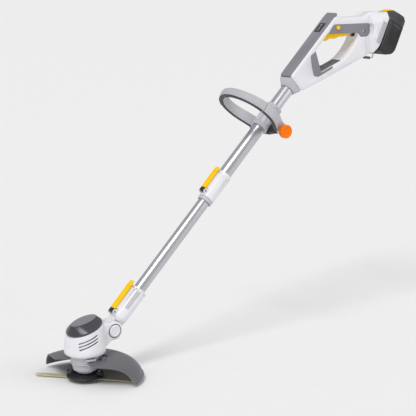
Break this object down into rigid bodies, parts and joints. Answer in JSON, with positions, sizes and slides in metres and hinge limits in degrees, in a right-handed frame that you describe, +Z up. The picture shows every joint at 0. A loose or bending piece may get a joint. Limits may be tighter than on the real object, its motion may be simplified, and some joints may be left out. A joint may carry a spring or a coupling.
{
  "type": "lawn edger",
  "caption": "Telescoping battery lawn edger with a window grip, sliding loop handle, swivelling and tilting motor head, curved guard and swinging blades.",
  "frame": {"origin": "middle of the rear grip, on the mid plane", "axes": "+X back towards the battery, +Y to the operator's right, +Z up; the shaft runs down towards -X at 44 degrees and the cutter spindle stands vertical"},
  "size_m": [0.9281, 0.2227, 0.7118],
  "materials": {
    "shell_white": "fine satin moulding",
    "soft_grey": "soft-touch overmould",
    "pale_grey": "satin moulding",
    "dark_grey": "fine textured moulding",
    "cap_grey": "semi-gloss moulding",
    "black_plastic": "matt moulding",
    "pack_black": "fine spark texture",
    "yellow": "satin moulding",
    "orange": "glossy moulding",
    "aluminium": "satin drawn tube",
    "steel": "plated",
    "brass": "bare contacts",
    "board": "solder-masked board",
    "cells": "shrink-sleeved cells",
    "amber": "translucent blade plastic"
  },
  "bodies": {
    "handle": {"handle_shell_left": "shell_white", "handle_shell_right": "shell_white", "grip_pad_left": "soft_grey", "grip_pad_right": "soft_grey", "corner_pad_left": "soft_grey", "corner_pad_right": "soft_grey", "strut_pad": "dark_grey", "front_strip": "soft_grey", "display_panel": "black_plastic", "tube_collar": "pale_grey", "trigger_pin": "steel", "power_switch": "black_plastic", "control_board": "board", "terminal_block": "brass", "dock_plate": "black_plastic", "dock_trim_left": "pale_grey", "dock_trim_right": "pale_grey", "shell_screw_1": "steel", "shell_screw_2": "steel", "shell_screw_3": "steel", "upper_tube": "aluminium", "mid_coupling": "shell_white", "mid_ring": "pale_grey", "mid_lever_pin": "steel"},
    "trigger_lever": {"trigger": "yellow"},
    "lock_off": {"lock_off_button": "yellow"},
    "battery": {"battery_case": "pack_black", "battery_head": "pack_black", "cell_pack": "cells"},
    "latch": {"battery_latch": "yellow"},
    "hook": {"hook_bail": "steel", "hook_sleeve": "black_plastic"},
    "mid_clamp_lever": {"mid_lever": "yellow"},
    "loop_mount": {"clamp_sleeve": "pale_grey", "clamp_jaw": "black_plastic"},
    "loop": {"loop_frame": "pale_grey", "loop_grip": "soft_grey", "clamp_bolt": "steel"},
    "knob": {"clamp_knob": "orange"},
    "boom": {"lower_tube": "aluminium"},
    "swivel": {"swivel_socket": "shell_white", "head_lever_pin": "steel"},
    "swivel_lever": {"head_lever": "yellow"},
    "head": {"motor_housing": "shell_white", "motor_cap": "cap_grey", "cap_plate": "dark_grey", "motor": "steel", "spindle_bearing": "steel", "spindle_cover": "pale_grey", "guard": "dark_grey", "guard_collar": "pale_grey", "pivot_pin": "steel"},
    "tilt_release": {"tilt_button": "shell_white"},
    "cutter": {"drive_shaft": "steel", "cutter_disc": "black_plastic", "hub_nut": "steel", "blade_pin_1": "steel", "blade_pin_2": "steel"},
    "blade_1": {"cutting_blade_1": "amber"},
    "blade_2": {"cutting_blade_2": "amber"}
  },
  "joints": [
    {"name": "trigger_pull", "type": "hinge", "parent": "handle", "child": "trigger_lever", "pos_m": [0.048, 0, -0.014], "axis": [0, 1, 0], "range_deg": [0, 4], "stiffness_Nm_per_rad": 6, "springref_deg": -2.86},
    {"name": "lock_off_push", "type": "slide", "parent": "handle", "child": "lock_off", "axis": [0, 1, 0], "range_m": [0, 0.003], "stiffness_N_per_m": 500, "springref_m": -0.002},
    {"name": "battery_slide", "type": "slide", "parent": "handle", "child": "battery", "axis": [0.4352, 0, 0.9003], "range_m": [0, 0.1]},
    {"name": "battery_latch_press", "type": "slide", "parent": "battery", "child": "latch", "axis": [-0.4352, 0, -0.9003], "range_m": [0, 0.0025], "stiffness_N_per_m": 800, "springref_m": -0.002},
    {"name": "hook_swing", "type": "hinge", "parent": "handle", "child": "hook", "pos_m": [0.078, 0, -0.0605], "axis": [0, 1, 0], "range_deg": [-50, 40]},
    {"name": "mid_lever_open", "type": "hinge", "parent": "handle", "child": "mid_clamp_lever", "pos_m": [-0.39282, 0, -0.32876], "axis": [0, -1, 0], "range_deg": [0, 75]},
    {"name": "loop_slide", "type": "slide", "parent": "handle", "child": "loop_mount", "axis": [0.7193, 0, 0.6947], "range_m": [-0.06, 0.04]},
    {"name": "loop_tilt", "type": "hinge", "parent": "loop_mount", "child": "loop", "pos_m": [-0.21713, 0, -0.21415], "axis": [0, 1, 0], "range_deg": [-30, 45]},
    {"name": "knob_turn", "type": "hinge", "parent": "loop", "child": "knob", "pos_m": [-0.21713, -0.058, -0.21415], "axis": [0, -1, 0], "range_deg": [0, 360]},
    {"name": "boom_telescope", "type": "slide", "parent": "handle", "child": "boom", "axis": [0.7193, 0, 0.6947], "range_m": [0, 0.2]},
    {"name": "head_swivel", "type": "hinge", "parent": "boom", "child": "swivel", "pos_m": [-0.58684, 0, -0.54532], "axis": [0.7193, 0, 0.6947], "range_deg": [0, 180]},
    {"name": "swivel_lever_open", "type": "hinge", "parent": "swivel", "child": "swivel_lever", "pos_m": [-0.62405, 0, -0.54998], "axis": [0, -1, 0], "range_deg": [0, 75]},
    {"name": "head_tilt", "type": "hinge", "parent": "swivel", "child": "head", "pos_m": [-0.63, 0, -0.587], "axis": [0, -1, 0], "range_deg": [-12, 40]},
    {"name": "tilt_button_press", "type": "slide", "parent": "head", "child": "tilt_release", "axis": [0, 1, 0], "range_m": [0, 0.0028], "stiffness_N_per_m": 900, "springref_m": -0.002},
    {"name": "cutter_spin", "type": "hinge", "parent": "head", "child": "cutter", "pos_m": [-0.69, 0, -0.67], "axis": [0, 0, 1], "continuous": true},
    {"name": "blade_1_swing", "type": "hinge", "parent": "cutter", "child": "blade_1", "pos_m": [-0.67136, -0.02222, -0.6766], "axis": [0, 0, 1], "range_deg": [-70, 70]},
    {"name": "blade_2_swing", "type": "hinge", "parent": "cutter", "child": "blade_2", "pos_m": [-0.70864, 0.02222, -0.6766], "axis": [0, 0, 1], "range_deg": [-70, 70]}
  ]
}
